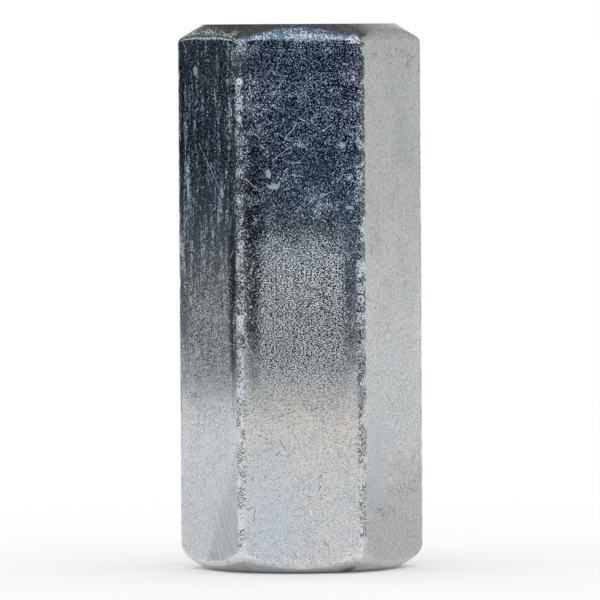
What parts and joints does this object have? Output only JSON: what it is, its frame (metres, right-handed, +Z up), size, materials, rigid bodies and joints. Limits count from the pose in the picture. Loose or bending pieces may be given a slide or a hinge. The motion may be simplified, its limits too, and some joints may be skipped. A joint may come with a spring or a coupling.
{
  "type": "coupling nut",
  "caption": "Long hexagonal nut, zinc plated, tapped right through with a coarse thread, that joins threaded rods end to end.",
  "frame": {"origin": "centre of the lower end face", "axes": "+Z up along the threaded hole, two of the six flats facing +Y and -Y, two corners on +X and -X"},
  "size_m": [0.02, 0.0174, 0.0444],
  "materials": {
    "zinc_plated_steel": "bright bluish zinc plating with fine drawn grain, small nicks and dull spots"
  },
  "bodies": {
    "root": {"coupling_nut": "zinc_plated_steel"}
  },
  "joints": []
}
